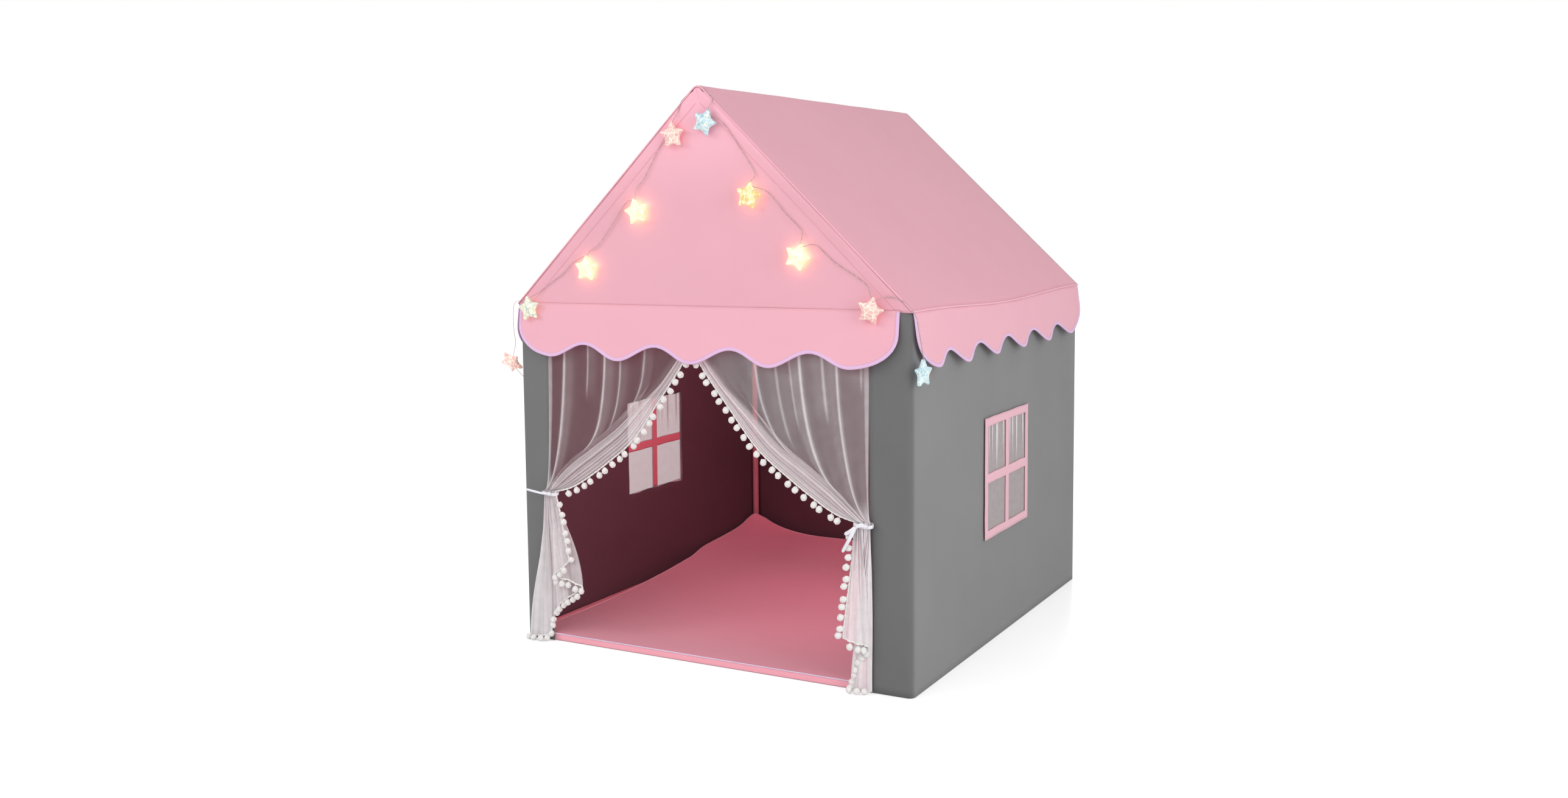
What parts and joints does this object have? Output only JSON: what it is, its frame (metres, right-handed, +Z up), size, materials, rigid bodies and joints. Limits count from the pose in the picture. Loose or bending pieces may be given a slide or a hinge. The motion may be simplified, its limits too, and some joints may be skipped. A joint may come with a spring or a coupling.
{
  "type": "kids play tent",
  "caption": "House-shaped play tent on a pole frame, with scalloped valances, side windows, tied-back door curtains, floor mat and star lights.",
  "frame": {"origin": "on the floor, under the middle of the floor mat", "axes": "+Z up, -Y out of the doorway, +X to the right of someone who faces the doorway"},
  "size_m": [1.165, 1.2601, 1.3548],
  "materials": {
    "pink_cloth": "matte woven cloth",
    "pale_pink_cloth": "matte woven cloth",
    "grey_cloth": "matte woven cloth",
    "mat_cloth": "soft padded cloth",
    "sheer_cloth": "sheer",
    "net_cloth": "open net",
    "pompom_yarn": "fluffy",
    "ribbon": "satin",
    "pole_plastic": "satin",
    "connector_plastic": "moulded",
    "lamp_plastic": "pearly",
    "case_plastic": "fine texture",
    "cell_steel": "lacquered sleeve",
    "contact_steel": "nickel plated"
  },
  "bodies": {
    "tent": {"base_rail_back": "pole_plastic", "base_rail_left": "pole_plastic", "base_rail_right": "pole_plastic", "battery_case": "case_plastic", "battery_lower": "cell_steel", "battery_upper": "cell_steel", "cell_bridge": "contact_steel", "curtain_tie_left": "ribbon", "curtain_tie_right": "ribbon", "door_curtain_left": "sheer_cloth", "door_curtain_right": "sheer_cloth", "eave_connector_back_left": "connector_plastic", "eave_connector_back_right": "connector_plastic", "eave_connector_front_left": "connector_plastic", "eave_connector_front_right": "connector_plastic", "eave_rail_back": "pole_plastic", "eave_rail_front": "pole_plastic", "eave_rail_left": "pole_plastic", "eave_rail_right": "pole_plastic", "floor_mat": "mat_cloth", "foot_connector_back_left": "connector_plastic", "foot_connector_back_right": "connector_plastic", "foot_connector_front_left": "connector_plastic", "foot_connector_front_right": "connector_plastic", "gable_back": "pale_pink_cloth", "gable_front": "pale_pink_cloth", "light_string": "lamp_plastic", "pompom_trim_left": "pompom_yarn", "pompom_trim_right": "pompom_yarn", "rafter_back_left": "pole_plastic", "rafter_back_right": "pole_plastic", "rafter_front_left": "pole_plastic", "rafter_front_right": "pole_plastic", "ridge_connector_back": "connector_plastic", "ridge_connector_front": "connector_plastic", "ridge_pole": "pole_plastic", "roof_cover": "pink_cloth", "terminal_lower": "contact_steel", "terminal_upper": "contact_steel", "upright_back_left": "pole_plastic", "upright_back_right": "pole_plastic", "upright_front_left": "pole_plastic", "upright_front_right": "pole_plastic", "valance_back": "pale_pink_cloth", "valance_front": "pale_pink_cloth", "valance_left": "pale_pink_cloth", "valance_right": "pale_pink_cloth", "wall_back": "grey_cloth", "wall_left": "grey_cloth", "wall_right": "grey_cloth", "window_curtain_left": "sheer_cloth", "window_curtain_right": "sheer_cloth", "window_frame_left": "pale_pink_cloth", "window_frame_right": "pale_pink_cloth", "window_net_left": "net_cloth", "window_net_right": "net_cloth"},
    "battery_cover": {"battery_cover": "case_plastic"},
    "switch": {"switch_slider": "case_plastic"}
  },
  "joints": [
    {"name": "battery_cover_slide", "type": "slide", "parent": "tent", "child": "battery_cover", "axis": [0, 1, 0], "range_m": [0, 0.05]},
    {"name": "switch_slide", "type": "slide", "parent": "tent", "child": "switch", "axis": [0, 0, 1], "range_m": [0, 0.0038]}
  ]
}
